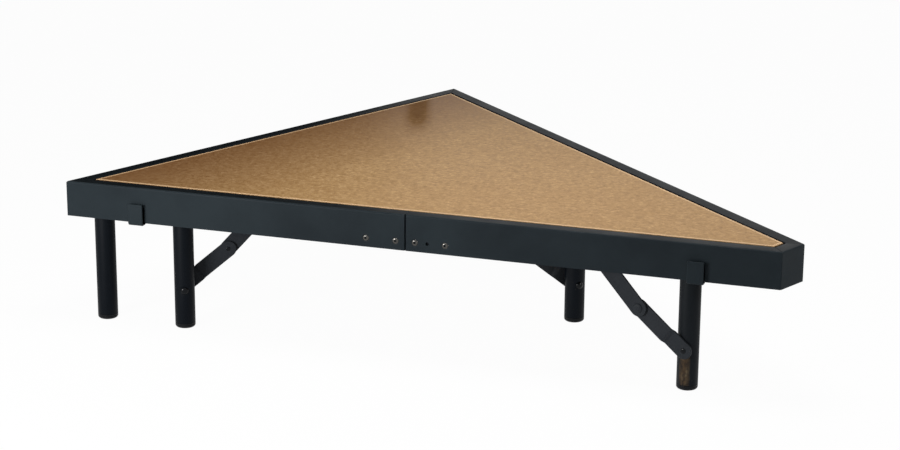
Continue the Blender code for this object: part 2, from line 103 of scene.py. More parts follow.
# %% [markdown]
# Every new piece is a surface over a grid of points. The grid is worked out with numpy in one go, and
# one helper turns it into a mesh: neighbours in the grid become quads, and the open ends are capped.
# The same could be done with Spin or Screw, but a grid keeps the formula in view.

# %% Helper: a mesh from a grid of points
SHARP_ANGLE = math.radians(40)


def grid_faces(rows, cols, wrap_rows):
    """Index quads: point (i, j) joins (i, j+1), (i+1, j+1) and (i+1, j), and the last column the first."""
    i = np.arange(rows if wrap_rows else rows - 1)[:, None]
    j = np.arange(cols)[None, :]
    i, j = np.broadcast_arrays(i, j)
    up, on = (i + 1) % rows, (j + 1) % cols
    return np.stack([i * cols + j, i * cols + on, up * cols + on, up * cols + j], -1).reshape(-1, 4)


def surface(name, grid, wrap_rows=False):
    """An object with the points grid[row, column]; its rows form a ring, or the end rows get flat caps."""
    rows, cols = grid.shape[:2]
    faces = [tuple(f) for f in grid_faces(rows, cols, wrap_rows).tolist()]
    if not wrap_rows:
        faces.append(tuple(range(cols))[::-1])
        faces.append(tuple(range((rows - 1) * cols, rows * cols)))
    mesh = bpy.data.meshes.new(name)
    mesh.from_pydata(grid.reshape(-1, 3).tolist(), [], faces)
    mesh.validate()
    mesh.shade_smooth()
    mesh.set_sharp_from_angle(angle=SHARP_ANGLE)
    piece = bpy.data.objects.new(name, mesh)
    bpy.context.scene.collection.objects.link(piece)
    return piece


def turned(profile, sides=96):
    """Grid of a turned shape: point = (r cos a, r sin a, z) for every (r, z) and every angle a."""
    profile = np.asarray(profile, float)
    angle = np.linspace(0, 2 * math.pi, sides, endpoint=False)
    r, z = profile[:, :1], profile[:, 1:]
    return np.stack([r * np.cos(angle), r * np.sin(angle), z + 0 * angle], -1)


def arc(centre, radius, start, end, steps=8):
    """Points on a circle, centre + radius (cos a, sin a), for a from start to end degrees."""
    angle = np.radians(np.linspace(start, end, steps + 1))
    return np.column_stack([centre[0] + radius * np.cos(angle), centre[1] + radius * np.sin(angle)])


def inward_of(section):
    """Unit normals that point into a closed section, from (next - previous) turned by 90 degrees."""
    x, y = section.T
    area = np.sum(x * np.roll(y, -1) - np.roll(x, -1) * y)
    chord = np.roll(section, -1, 0) - np.roll(section, 1, 0)
    normal = np.column_stack([-chord[:, 1], chord[:, 0]]) * math.copysign(1, area)
    return normal / np.linalg.norm(normal, axis=1)[:, None]


def rounded(corners, radii, steps=6):
    """A closed outline with each corner cut by an arc of its radius; the arc starts r / tan(a / 2) away."""
    corners = np.array(corners, float)
    out = []
    for p, before, after, radius in zip(corners, np.roll(corners, 1, 0), np.roll(corners, -1, 0), radii):
        to_a, to_b = (before - p) / np.linalg.norm(before - p), (after - p) / np.linalg.norm(after - p)
        half = math.acos(float(np.clip(to_a @ to_b, -1, 1))) / 2
        first, last = p + to_a * radius / math.tan(half), p + to_b * radius / math.tan(half)
        middle = (to_a + to_b) / np.linalg.norm(to_a + to_b)
        centre = p + middle * radius / math.sin(half)
        swing = np.linspace(0, 1, steps + 1)[:, None]
        spoke = (first - centre) * (1 - swing) + (last - centre) * swing
        out.append(centre + radius * spoke / np.linalg.norm(spoke, axis=1)[:, None])
    return np.concatenate(out)


def plate_rows(section, places, broken):
    """Depths and sections across a bent plate: the outer rows are drawn in by broken to break the edge."""
    low, high = places
    rows = [(low, broken), (low + broken, 0), (high - broken, 0), (high, broken)]
    return [(place, section + inward_of(section) * cut) for place, cut in rows]


print("helpers ready")

# %% [markdown]
# Each leg has its own frame: x along the direction in which it folds, y to the left of that, z up,
# with its origin on the hinge pin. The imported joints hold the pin's place and axis, so the frames are
# read from them and a piece made in leg coordinates lands on the CAD leg.

# %% Leg frames from the joints
LEG_NAMES = ("front_leg", "middle_leg", "tip_leg", "front_corner_leg", "back_corner_leg")
BRACE_SIDE = {"front_leg": 1, "middle_leg": -1, "tip_leg": 1}


def leg_frame(leg):
    """Origin and the three axes of a leg: the fold axis a is level, so x = (-a_y, a_x, 0) turned back."""
    joint = joints[leg + "_fold"]
    a = np.array(joint["axis"], float)
    along = np.array([-a[1], a[0], 0.0])
    left = np.array([-along[1], along[0], 0.0])
    return np.array(joint["pos_m"], float), np.array([along, left, [0.0, 0.0, 1.0]])


LEG_FRAMES = {leg: leg_frame(leg) for leg in LEG_NAMES}


def on_leg(grid, leg):
    """Leg coordinates to world ones: origin + x along + y left + z up."""
    origin, axes = LEG_FRAMES[leg]
    return origin + grid @ axes


HINGE_HEIGHT = float(LEG_FRAMES["tip_leg"][0][2])
print("hinge pins are", round(HINGE_HEIGHT, 4), "m above the floor")

# %% [markdown]
# A finish in Blender is a graph of nodes that ends in the Principled shader. Each node takes a few
# lines to add and join, so one small class keeps a graph and gives a short call for every kind of
# node used here. The patterns read Object coordinates, which stay with a piece when a leg folds.

# %% Helper: a finish as a graph of nodes
def srgb(red, green, blue):
    """Linear values of a colour given as 0 to 255 screen values: ((v + 0.055) / 1.055) ** 2.4."""
    v = np.array([red, green, blue]) / 255
    linear = np.where(v <= 0.04045, v / 12.92, ((v + 0.055) / 1.055) ** 2.4)
    return (*map(float, linear), 1.0)


class Finish:
    """A Principled material with short calls that add and join its nodes."""

    def __init__(self, name, roughness, metallic=0.0):
        self.material = bpy.data.materials.new(name)
        self.material.use_nodes = True
        self.tree = self.material.node_tree
        self.shader = self.tree.nodes["Principled BSDF"]
        self.shader.inputs["Roughness"].default_value = roughness
        self.shader.inputs["Metallic"].default_value = metallic
        self.place = self.tree.nodes.new("ShaderNodeTexCoord").outputs["Object"]

    def link(self, out, into):
        self.tree.links.new(out, into)

    def mapped(self, scale, offset=(0, 0, 0)):
        """Object coordinates times scale, moved by offset."""
        node = self.tree.nodes.new("ShaderNodeMapping")
        node.inputs["Scale"].default_value = scale
        node.inputs["Location"].default_value = offset
        self.link(self.place, node.inputs["Vector"])
        return node.outputs["Vector"]

    def noise(self, scale, detail=3.0, vector=None, roughness=0.55):
        node = self.tree.nodes.new("ShaderNodeTexNoise")
        node.inputs["Scale"].default_value = scale
        node.inputs["Detail"].default_value = detail
        node.inputs["Roughness"].default_value = roughness
        self.link(vector or self.place, node.inputs["Vector"])
        return node.outputs["Fac"]

    def ramp(self, value, *stops):
        """Colour ramp over value; each stop is (position, colour)."""
        node = self.tree.nodes.new("ShaderNodeValToRGB")
        element = node.color_ramp.elements
        while len(element) < len(stops):
            element.new(0.5)
        for stop, (position, colour) in zip(element, stops):
            stop.position, stop.color = position, colour
        self.link(value, node.inputs["Fac"])
        return node.outputs["Color"]

    def spread(self, value, low, high, start=0.3, end=0.7):
        """Value between start and end stretched to low..high, and held there beyond."""
        node = self.tree.nodes.new("ShaderNodeMapRange")
        for socket, number in (("From Min", start), ("From Max", end), ("To Min", low), ("To Max", high)):
            node.inputs[socket].default_value = number
        self.link(value, node.inputs["Value"])
        return node.outputs["Result"]

    def math(self, operation, a, b):
        node = self.tree.nodes.new("ShaderNodeMath")
        node.operation = operation
        for socket, value in zip(node.inputs, (a, b)):
            if isinstance(value, (int, float)):
                socket.default_value = value
            else:
                self.link(value, socket)
        return node.outputs[0]

    def mix(self, share, a, b):
        """Colour a to colour b by share."""
        node = self.tree.nodes.new("ShaderNodeMix")
        node.data_type = "RGBA"
        colours = [socket for socket in node.inputs if socket.type == "RGBA"]
        for socket, value in zip((node.inputs[0], *colours), (share, a, b)):
            if isinstance(value, (int, float, tuple)):
                socket.default_value = value
            else:
                self.link(value, socket)
        return next(o for o in node.outputs if o.type == "RGBA")

    def along(self, direction, origin=(0, 0, 0)):
        """How far a point lies from origin along direction: (p - origin) . direction."""
        away, dot = (self.tree.nodes.new("ShaderNodeVectorMath") for _ in range(2))
        away.operation, dot.operation = "SUBTRACT", "DOT_PRODUCT"
        away.inputs[1].default_value, dot.inputs[1].default_value = origin, direction
        self.link(self.place, away.inputs[0])
        self.link(away.outputs[0], dot.inputs[0])
        return dot.outputs["Value"]

    def within(self, value, edge, fade):
        """1 where |value| is under edge - fade, 0 beyond edge + fade."""
        return self.spread(self.math("ABSOLUTE", value, 0.0), 1.0, 0.0, edge - fade, edge + fade)

    def bump(self, height, strength, distance, after=None):
        node = self.tree.nodes.new("ShaderNodeBump")
        node.inputs["Strength"].default_value = strength
        node.inputs["Distance"].default_value = distance
        self.link(height, node.inputs["Height"])
        if after:
            self.link(after, node.inputs["Normal"])
        return node.outputs["Normal"]

    def wire(self, **sockets):
        """Join outputs to the shader's sockets, named with underscores."""
        for name, out in sockets.items():
            self.link(out, self.shader.inputs[name.replace("_", " ")])
        return self.material


print("finish helper ready")

# %% [markdown]
# The coat on the steel is a satin black powder. Baked powder is never quite flat: it has a fine
# orange-peel ripple, it pools a little darker in places, and handling dulls it. So the colour is a
# near-black slate that noise shifts slightly, the roughness varies with a slower noise, and a fine
# noise gives the ripple through a bump node. The rim, the legs, the links and the rivets differ a
# little in shade and in gloss, so each gets its own version of the same coat. The flange's darker
# version is painted shade.

# %% Finish: black powder coat
def powder_coat(name, dark, light, rough=(0.36, 0.46), ripple=0.10, gloss=0.08):
    """Paint that drifts between two shades and between the two roughnesses, with a ripple on it."""
    coat = Finish(name, sum(rough) / 2)
    coat.shader.inputs["Specular IOR Level"].default_value = gloss
    cloudy = coat.noise(9, 4)
    speckle = coat.noise(900, 2)
    tone = coat.ramp(cloudy, (0.35, dark), (0.65, light))
    peel = coat.noise(420, 2)
    fine = coat.bump(speckle, 0.06, 0.0002)
    return coat.wire(
        Base_Color=tone,
        Roughness=coat.spread(coat.noise(26, 3), *rough),
        Normal=coat.bump(peel, ripple, 0.0005, fine),
    )


rim_coat = powder_coat("rim_powder_coat", srgb(31, 37, 41), srgb(37, 44, 48), gloss=0.04)
leg_coat = powder_coat("leg_powder_coat", srgb(2, 6, 12), srgb(6, 11, 17), (0.42, 0.52), 0.06)
link_coat = powder_coat("link_powder_coat", srgb(34, 37, 41), srgb(43, 46, 50), (0.45, 0.55), 0.16)
# The flange's coat is darker than the rim's as painted shade.
flange_shade_coat = powder_coat("flange_painted_shade_coat", srgb(10, 14, 16), srgb(15, 19, 22), gloss=0.035)
rivet_coat = powder_coat("rivet_enamel", srgb(4, 7, 11), srgb(8, 11, 15), (0.10, 0.16), 0.02, 0.14)
print("powder coats made")

# %% [markdown]
# The panel's face is tempered hardboard: wood fibre pressed and browned in oil. Seen close it is a
# mat of short fibres that lie mostly one way, with darker flecks, paler bruises and slow clouds
# where the oil soaked deeper. The fibres are a noise stretched along the front rail, the flecks a
# finer noise through a steep ramp, and the clouds a slow noise; all three shift one tan.
# The wide end is painted darker, as painted shade for the weaker light there, and a long soft
# darker mark lies near the far corner. The panel's rounded top edge and a thin ring round its face
# are painted pale, as a painted highlight line.

# %% Finish: tempered hardboard
# Painted shade: the panel's colour darkens towards the low end of this direction, the wide end.
SHADE_TOWARDS = (1, -0.35, 0)  # the board is darkest at the low end of this direction
MARK = (-0.200, 0.215, 0.2)  # the mark's middle
MARK_ALONG, MARK_ACROSS = (0.321, -0.947, 0), (0.947, 0.321, 0)
MARK_REACH, MARK_HALF_WIDTH = 0.12, 0.016


def hardboard():
    """A tan mat of fibres, then streaks, soaked clouds and flecks, then painted shade, then the darker mark
    on top.
    """
    board = Finish("tempered_hardboard", 0.40)
    fibres = board.noise(1, 6, board.mapped((90, 300, 200)), 0.65)
    mottle = board.noise(1, 6, board.mapped((190, 170, 150), offset=(3, 1, 0)), 0.72)
    clouds = board.noise(3.2, 4)
    flecks = board.noise(1, 3, board.mapped((150, 420, 300), offset=(7, 5, 0)), 0.7)
    tan = board.ramp(
        mottle,
        (0.30, srgb(128, 94, 56)),
        (0.44, srgb(173, 137, 93)),
        (0.56, srgb(193, 157, 111)),
        (0.72, srgb(229, 192, 147)),
    )
    streaked = board.mix(board.spread(fibres, 0.0, 0.42), tan, srgb(142, 106, 56))
    soaked = board.mix(board.spread(clouds, 0.0, 0.30), streaked, srgb(154, 114, 66))
    spotted = board.mix(board.spread(flecks, 0.0, 0.7, 0.60, 0.72), soaked, srgb(104, 74, 38))
    # Painted shade: the tan is mixed towards dark brown towards the wide end.
    shade_share = board.spread(board.along(SHADE_TOWARDS), 0.76, 0.0, -0.36, -0.09)
    shaded_tone = board.mix(shade_share, spotted, srgb(97, 54, 22))
    # A long soft darker mark near the far corner, with less sheen on it.
    on_mark = board.math(
        "MULTIPLY",
        board.within(board.along(MARK_ALONG, MARK), MARK_REACH, 0.06),
        board.within(board.along(MARK_ACROSS, MARK), MARK_HALF_WIDTH, 0.010),
    )
    patchy = board.spread(fibres, 0.35, 0.9, 0.3, 0.7)
    marked = board.mix(board.math("MULTIPLY", on_mark, patchy), shaded_tone, srgb(104, 70, 34))
    return board.wire(
        Base_Color=marked,
        Specular_IOR_Level=board.spread(on_mark, 0.065, 0.004, 0, 0.7),
        Roughness=board.spread(mottle, 0.36, 0.52),
        Normal=board.bump(fibres, 0.10, 0.0003),
    )


# Painted highlight: a pale colour for the panel's rounded top edge and the ring round its face.
def pale_edge_highlight():
    edge = Finish("pale_edge_painted_highlight", 0.6)
    grain = edge.noise(700, 3)
    return edge.wire(Base_Color=edge.ramp(grain, (0.3, srgb(190, 152, 108)), (0.7, srgb(218, 182, 138))))


board_face, panel_edge_highlight = hardboard(), pale_edge_highlight()
print("hardboard made")

# %% [markdown]
# The splice rivets are bright zinc, and the foot pads are moulded black plastic. Zinc plate is
# slightly blotchy, so noise moves its colour and roughness; the plastic has a fine grain. The leg
# at the tip has lost its paint low on the front, so a mask of its place lets the brown primer
# through there, and noise makes the patch ragged.

# %% Finishes: zinc plate, moulded plastic and a rubbed leg
RUBBED_SIDE = (-0.122, -0.993)  # where the patch faces, in plan
PATCH_EDGE, PATCH_FULL = 0.0116, 0.0139  # from the tube's axis towards that side
PATCH_MIDDLE, PATCH_HALF_HEIGHT = 0.028, 0.021


def zinc_plate():
    zinc = Finish("zinc_plate", 0.3, 1.0)
    tone = zinc.ramp(zinc.noise(300, 3), (0.3, srgb(62, 61, 59)), (0.7, srgb(92, 90, 87)))
    return zinc.wire(Base_Color=tone, Roughness=zinc.spread(zinc.noise(500, 2), 0.14, 0.28))


def moulded_plastic():
    plastic = Finish("foot_plastic", 0.38)
    plastic.shader.inputs["Specular IOR Level"].default_value = 0.15
    tone = plastic.ramp(plastic.noise(60, 3), (0.35, srgb(10, 12, 15)), (0.7, srgb(18, 20, 23)))
    grain = plastic.noise(1400, 2)
    return plastic.wire(Base_Color=tone, Normal=plastic.bump(grain, 0.15, 0.0002))


def rubbed_and_lit_leg(axis, facing):
    """The leg's coat, a lighter black as painted light, with a worn patch low on the side that faces the
    unit vector facing.

    With p the place and c the tube's axis, the patch is where (p - c) . facing is near the radius.
    """
    coat = Finish("rubbed_and_lit_leg_coat", 0.26)
    coat.shader.inputs["Specular IOR Level"].default_value = 0.08
    cloudy, streaks = coat.noise(9, 4), coat.noise(1, 4, coat.mapped((260, 260, 60)))
    # Painted light: this leg's paint is a lighter black than the other legs' coat, as it stood nearer the
    # lamp.
    paint = coat.ramp(cloudy, (0.35, srgb(15, 19, 22)), (0.65, srgb(20, 24, 28)))
    primer = coat.ramp(
        streaks,
        (0.3, srgb(44, 34, 27)),
        (0.55, srgb(84, 68, 50)),
        (0.75, srgb(120, 106, 84)),
    )
    turned_to = coat.spread(coat.along((*facing, 0), (*axis, 0)), 0.0, 1.0, PATCH_EDGE, PATCH_FULL)
    low = coat.within(coat.along((0, 0, 1), (0, 0, PATCH_MIDDLE)), PATCH_HALF_HEIGHT, 0.003)
    ragged = coat.spread(coat.noise(180, 4), 0.35, 1.0, 0.35, 0.6)
    worn = coat.math("MULTIPLY", coat.math("MULTIPLY", turned_to, low), ragged)
    return coat.wire(
        Base_Color=coat.mix(worn, paint, primer),
        Roughness=coat.spread(worn, 0.47, 0.36, 0, 1),
    )


zinc = zinc_plate()
foot_plastic = moulded_plastic()
worn_and_lit_coat = rubbed_and_lit_leg(LEG_FRAMES["tip_leg"][0][:2].tolist(), RUBBED_SIDE)
print("small finishes made")

# %% [markdown]
# CAD nodes whose shape is right keep their mesh and only get a finish: the bars, the brackets and
# the pins under the deck. The others get one too, and the new pieces below stand in for them.

# %% Finish the CAD nodes
def give_finish(piece, material):
    piece.data.materials.clear()
    piece.data.materials.append(material)


def coat_for(node):
    if node == "deck_board":
        return board_face
    if node.startswith("splice_rivet"):
        return zinc
    if node.endswith("_foot"):
        return foot_plastic
    if "_link" in node or "rivet" in node or "_pin" in node:
        return link_coat
    return leg_coat if "_tube" in node or "_bracket" in node else rim_coat


for node, piece in frame["nodes"].items():
    give_finish(piece, coat_for(node))


def dress(piece, material, body, slot, *nodes):
    """Gives a new piece its finish and its body, and lets it stand for CAD nodes."""
    give_finish(piece, material)
    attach(piece, body)
    if nodes:
        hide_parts(*nodes)


print(len(frame["nodes"]), "CAD nodes have a finish")

# %% [markdown]
# The rim is sheet steel folded into one section: a tall web, a rounded edge, a flat top, a drop along
# the panel and a ledge under it. Five lengths are mitred and butted at the corners. A profile carried
# along a line makes each one, and each end row leans so that it lies on the mitre.
# The last half millimetre at each end is drawn in a little, so the joints read as fine grooves.

# %% Rim section and plan
DECK_DEPTH, TIP_WIDTH, TIP_ANGLE = 914.4 * MM, 50.8 * MM, math.radians(45)
FRONT_LENGTH = DECK_DEPTH / math.cos(TIP_ANGLE / 2)
RIM_HEIGHT, RIM_WIDTH, RIM_SHEET = 49 * MM, 19.6 * MM, 2.5 * MM
RIM_EDGE_RADIUS = 2.2 * MM
LEDGE_WIDTH, LEDGE_TOP = 12 * MM, -13 * MM
SEAM, CLOSED_SEAM, SEAM_TAPER = 0.3 * MM, 0.04 * MM, 4 * MM
SPLICE_GAP = 1.8 * MM
DECK_TOP = float(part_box("deck_board")[1].z)


def straight(*corners):
    """The corners of a straight stretch, as an array."""
    return np.array(corners, float)


def rim_section(web_points):
    """(in from the web's face, up from the deck's top) round the sheet, with web_points up the web."""
    edge, inner = RIM_EDGE_RADIUS, RIM_WIDTH - RIM_SHEET
    web = np.column_stack([np.zeros(web_points), np.linspace(-RIM_HEIGHT, -edge, web_points)])
    parts = [
        web[:-1],
        arc((edge, -edge), edge, 180, 90, 10),
        straight((SEAM_TAPER, 0)),
        arc((RIM_WIDTH - edge / 2, -edge / 2), edge / 2, 90, 0, 6),
        straight((RIM_WIDTH, LEDGE_TOP), (RIM_WIDTH + LEDGE_WIDTH, LEDGE_TOP)),
        straight((RIM_WIDTH + LEDGE_WIDTH, LEDGE_TOP - RIM_SHEET)),
        arc((RIM_WIDTH, LEDGE_TOP), RIM_SHEET, 270, 180, 6),
        straight((inner, -RIM_SHEET), (RIM_SHEET, -RIM_SHEET), (RIM_SHEET, -RIM_HEIGHT)),
    ]
    return np.concatenate(parts)[::-1]


def plan_corners():
    """The four corners: front rail's two ends, then the tip and the far corner by turning about V."""
    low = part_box("front_rail_left")[0]
    first = np.array([low.x - SEAM / 2, low.y])
    cut = TIP_WIDTH / 2 / math.sin(TIP_ANGLE / 2)
    meeting = first + [FRONT_LENGTH + cut, 0]
    back = np.array([-math.cos(TIP_ANGLE), math.sin(TIP_ANGLE)])
    return [first, first + [FRONT_LENGTH, 0], meeting + cut * back, meeting + (FRONT_LENGTH + cut) * back]


CORNERS = plan_corners()
WEB_FACE = float(CORNERS[0][1])
print("rim corners:", [c.round(4).tolist() for c in CORNERS])

# %% [markdown]
# The panel lies level with the rim, with a shadow gap all round. Its outline is the rim's outline
# moved in: with n and m the inward normals at a corner, the corner moves by d (n + m) / (1 + n . m).
# Its rounded top edge and a narrow ring round its face get a pale colour, a painted highlight line.

# %% Panel
BOARD_THICKNESS = 12.7 * MM
BOARD_INSET, BOARD_ROUND, RING_WIDTH = RIM_WIDTH + 3.0 * MM, 0.4 * MM, 3.8 * MM


def moved_in(distance):
    """The rim's outline moved in by distance."""
    outline = np.array(CORNERS)
    along = np.roll(outline, -1, 0) - outline
    along = along / np.linalg.norm(along, axis=1)[:, None]
    inward = np.column_stack([-along[:, 1], along[:, 0]])
    before = np.roll(inward, 1, 0)
    return outline + distance * (inward + before) / (1 + np.sum(inward * before, 1))[:, None]


def build_board():
    corner = arc((BOARD_INSET + BOARD_ROUND, -BOARD_ROUND), BOARD_ROUND, 180, 90, 4)
    levels = np.concatenate([[(BOARD_INSET, -BOARD_THICKNESS)], corner, [(BOARD_INSET + RING_WIDTH, 0)]])
    rings = [np.column_stack([moved_in(d), np.full(4, DECK_TOP + z)]) for d, z in levels]
    board = surface("hardboard_panel", np.stack(rings))
    dress(board, board_face, "deck", "board", "deck_board")
    board.data.materials.append(panel_edge_highlight)
    # The rounded edge and the ring take the pale painted highlight.
    for face in board.data.polygons[4 : 4 * (len(levels) - 1)]:
        face.material_index = 1


build_board()
print("panel made")

# %% [markdown]
# The splice rivets were set hard, so the web is dished round each one, and one hole was left empty.
# Points of the web near a rivet are moved in by a smooth bump of their distance from it. That needs
# close rows there, so the rows crowd round the rivets. The empty hole is cut by a small drill.

# %% Rivet places and their dishes
RIVET_DROP = -36.8 * MM
RIVET_PLACES = np.array([-55, -13.5, 13.5, 55]) * MM
SPARE_PLACE = 30.6 * MM
DISH_RADIUS, DISH_DEPTH = 6.2 * MM, 1.0 * MM
HOLE_RADIUS = 2.4 * MM
SPLICE_X = float(CORNERS[0][0] + FRONT_LENGTH / 2)


def dished(depth, x, z):
    """Adds DISH_DEPTH (1 + cos(pi r / R)) / 2 to depth, where r is the distance to the nearest rivet."""
    for place in RIVET_PLACES:
        r = np.hypot(x - SPLICE_X - place, z - RIVET_DROP) / DISH_RADIUS
        depth = depth + DISH_DEPTH * (1 + np.cos(math.pi * np.minimum(r, 1))) / 2
    return depth


print("rivets along the splice, in mm:", (RIVET_PLACES / MM).round(1).tolist())

# %% [markdown]
# Each rail is a grid: a row is the whole section at one place along the rail. Rows at the two ends
# lie on the mitre, so they start and stop at a place that depends on how deep a point lies in the
# section. A few even rows are enough for a straight rail, and the close ones carry the dishes.

# %% Rows of a rail
EVEN_STEPS, BROKEN_END = 12, 0.5 * MM
CLOSE_ROWS = np.arange(-6.6, 6.7, 0.55) * MM


def rail_rows(length, near=()):
    """Places along a rail, 0 to 1: even steps, one row close to each end, and close rows round each near."""
    rows = [np.linspace(0, length, EVEN_STEPS + 1), [BROKEN_END, length - BROKEN_END]]
    rows += [CLOSE_ROWS + place for place in near]
    rows = np.unique(np.round(np.concatenate(rows) / length, 7))
    return rows[(rows >= 0) & (rows <= 1)]


def rail_grid(start, end, turns, gaps, rows, section):
    """Rows of the section from start to end: s = first + t (last - first), d deep in the section.

    With turn the angle between two rails, first = d / tan(turn / 2) + gap / 2, and last likewise from
    the other end. The gap is on the web alone: from SEAM_TAPER in, the flange closes to CLOSED_SEAM.
    """
    length = np.linalg.norm(end - start)
    along = (end - start) / length
    inward = np.array([-along[1], along[0]])
    drawn_in = np.zeros((len(rows), 1, 1))
    drawn_in[[0, -1]] = BROKEN_END
    shape = section + inward_of(section) * drawn_in
    gaps = [np.where(section[:, 0] < SEAM_TAPER, gap, CLOSED_SEAM) for gap in gaps]
    first = section[:, 0] / math.tan(turns[0] / 2) + gaps[0] / 2
    last = length - section[:, 0] / math.tan(turns[1] / 2) - gaps[1] / 2
    s = first + rows[:, None] * (last - first)
    x = start[0] + s * along[0]
    on_web = (section[:, 0] == 0) & (section[:, 1] < -RIM_EDGE_RADIUS) & (abs(along[1]) < 1e-6)
    d = np.where(on_web, dished(shape[..., 0], x, shape[..., 1]), shape[..., 0])
    plan = start + s[..., None] * along + d[..., None] * inward
    return np.concatenate([plan, DECK_TOP + shape[..., 1:]], -1)


print("close rows round each rivet:", len(CLOSE_ROWS))

# %% [markdown]
# The spare hole is cut with a Boolean, as a drill would cut it, and the result is made the rail's own
# mesh at once, so no modifier stays on it. The drill bit is removed again.

# %% Drill for the spare hole
def drill(piece, x, z, radius):
    """Cuts a round hole through the front web of piece at (x, z)."""
    profile = [(radius, -RIM_SHEET * 2), (radius, RIM_SHEET * 2)]
    bit = surface("drill_bit", facing_front(turned(profile, 48), x, z))
    cut = piece.modifiers.new("hole", "BOOLEAN")
    cut.object, cut.operation, cut.solver = bit, "DIFFERENCE", "EXACT"
    seen = piece.evaluated_get(bpy.context.evaluated_depsgraph_get())
    mesh = bpy.data.meshes.new_from_object(seen)
    piece.modifiers.clear()
    piece.data = mesh
    mesh.set_sharp_from_angle(angle=SHARP_ANGLE)
    bpy.data.objects.remove(bit)


def facing_front(grid, x, z):
    """Turns +z of a turned grid to -Y, on the front web: (X, Y, Z) = (x + gx, WEB_FACE - gz, z + gy)."""
    return np.stack([x + grid[..., 0], WEB_FACE - grid[..., 2], z + grid[..., 1]], -1)


print("drill radius in metres:", HOLE_RADIUS)

# %% [markdown]
# Now the five rails are built. The flange's top and the wall beside the panel get darker coats,
# as painted shade, in material slots of their own.

# %% Rim rails
DENSE_WEB, PLAIN_WEB = 90, 12  # points up the web with dishes and without


def paint_flange_shade(rail, start, end):
    """Painted shade on the flange: the dark, dull coat in slot 1 on its top, the leg coat in slot 2 on the
    wall beside the panel.
    """
    along = (end - start) / np.linalg.norm(end - start)
    inward = np.array([-along[1], along[0]])
    rail.data.materials.append(flange_shade_coat)
    rail.data.materials.append(leg_coat)
    for face in rail.data.polygons:
        depth = (np.array(face.center[:2]) - start) @ inward
        if depth > RIM_EDGE_RADIUS and face.normal.z > 0.9:
            face.material_index = 1
        # Painted shade in the gap: the leg coat on the wall beside the panel.
        if depth > RIM_WIDTH - RIM_EDGE_RADIUS / 2 and face.center.z > DECK_TOP + 0.9 * LEDGE_TOP:
            face.material_index = 2


def build_rails():
    wide, narrow, square = math.pi / 2 + TIP_ANGLE / 2, math.pi / 2 - TIP_ANGLE / 2, math.pi
    middle = (CORNERS[0] + CORNERS[1]) / 2
    half = FRONT_LENGTH / 2
    left_rivets = half + RIVET_PLACES[:2]
    right_rivets = RIVET_PLACES[2:]
    rails = (
        ("front_rail_left", CORNERS[0], middle, (narrow, square), (SEAM, SPLICE_GAP), left_rivets),
        ("front_rail_right", middle, CORNERS[1], (square, wide), (SPLICE_GAP, SEAM), right_rivets),
        ("tip_rail", CORNERS[1], CORNERS[2], (wide, wide), (SEAM, SEAM), ()),
        ("back_rail", CORNERS[2], CORNERS[3], (wide, narrow), (SEAM, SEAM), ()),
        ("outer_rail", CORNERS[3], CORNERS[0], (narrow, narrow), (SEAM, SEAM), ()),
    )
    for name, start, end, turns, gaps, near in rails:
        rows = rail_rows(np.linalg.norm(end - start), near)
        section = rim_section(DENSE_WEB if len(near) else PLAIN_WEB)
        rail = surface(f"{name}_folded", rail_grid(start, end, turns, gaps, rows, section))
        if name == "front_rail_right":
            drill(rail, SPLICE_X + SPARE_PLACE, DECK_TOP + RIVET_DROP, HOLE_RADIUS)
        dress(rail, rim_coat, "deck", "frame", name)
        paint_flange_shade(rail, start, end)
        print(name, len(rows), "rows of", len(section))


build_rails()

# %% [markdown]
# Two joining hooks reach over the front rail: a strap starts behind the web, passes under its lower
# edge with a round bend, and stands in front of it. The next deck drops into that slot.

# %% Joining hooks
HOOK_SHEET, HOOK_GAP = 2.5 * MM, 4.5 * MM
HOOK_TOP_DROP, HOOK_BACK_HEIGHT = 22 * MM, 16 * MM


def hook_section():
    """(d, z) like the rim's section; d is in from the web's face and z up from the deck's top."""
    back, under = RIM_SHEET + SEAM, -RIM_HEIGHT - SEAM
    front, low = -HOOK_GAP - HOOK_SHEET, under - HOOK_SHEET
    corners = [
        (back + HOOK_SHEET, low),
        (back + HOOK_SHEET, under + HOOK_BACK_HEIGHT),
        (back, under + HOOK_BACK_HEIGHT),
        (back, under),
        (-HOOK_GAP, under),
        (-HOOK_GAP, -HOOK_TOP_DROP),
        (front, -HOOK_TOP_DROP),
        (front, low),
    ]
    radii = np.array([3.2, 0.5, 0.5, 0.7, 0.9, 0.5, 0.7, 3.4]) * MM
    return rounded(corners, radii)


for side in ("left", "right"):
    low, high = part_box(f"joining_hook_{side}")
    rows = plate_rows(hook_section(), (float(low.x), float(high.x)), 0.9 * MM)
    rings = [np.column_stack([np.full(len(r), x), WEB_FACE + r[:, 0], DECK_TOP + r[:, 1]]) for x, r in rows]
    hook = surface(f"bent_hook_{side}", np.stack(rings))
    dress(hook, rim_coat, "deck", "frame", f"joining_hook_{side}")
print("hooks bent")

# %% [markdown]
# Behind the web a flat plate ties the two lengths together. It closes the seam from behind and has
# the darkest coat, as painted shade, so the seam and the empty hole look black.

# %% Splice plate
SPLICE_DROP = 0.7 * MM  # so far below the web that no white shows at the seam's foot


def build_splice_plate():
    low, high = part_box("splice_plate")
    outline = [(low.x, low.y), (high.x, low.y), (high.x, high.y), (low.x, high.y)]
    section = rounded(outline, np.full(4, 0.8 * MM), 4)
    rows = plate_rows(section, (float(low.z) - SPLICE_DROP, float(high.z)), 0.4 * MM)
    grid = np.stack([np.column_stack([r, np.full(len(r), z)]) for z, r in rows])
    # Painted shade: the darkest coat on the plate, seen through the seam and the empty hole.
    dress(surface("plain_splice_plate", grid), leg_coat, "deck", "frame", "splice_plate")


build_splice_plate()
print("splice plate made")

# %% [markdown]
# A pop rivet is a low dome with a hole down its middle, where the mandrel broke off. It is one turned
# profile: the swelled tail inside the rail, the shank, the flange and dome, then down into the hole.

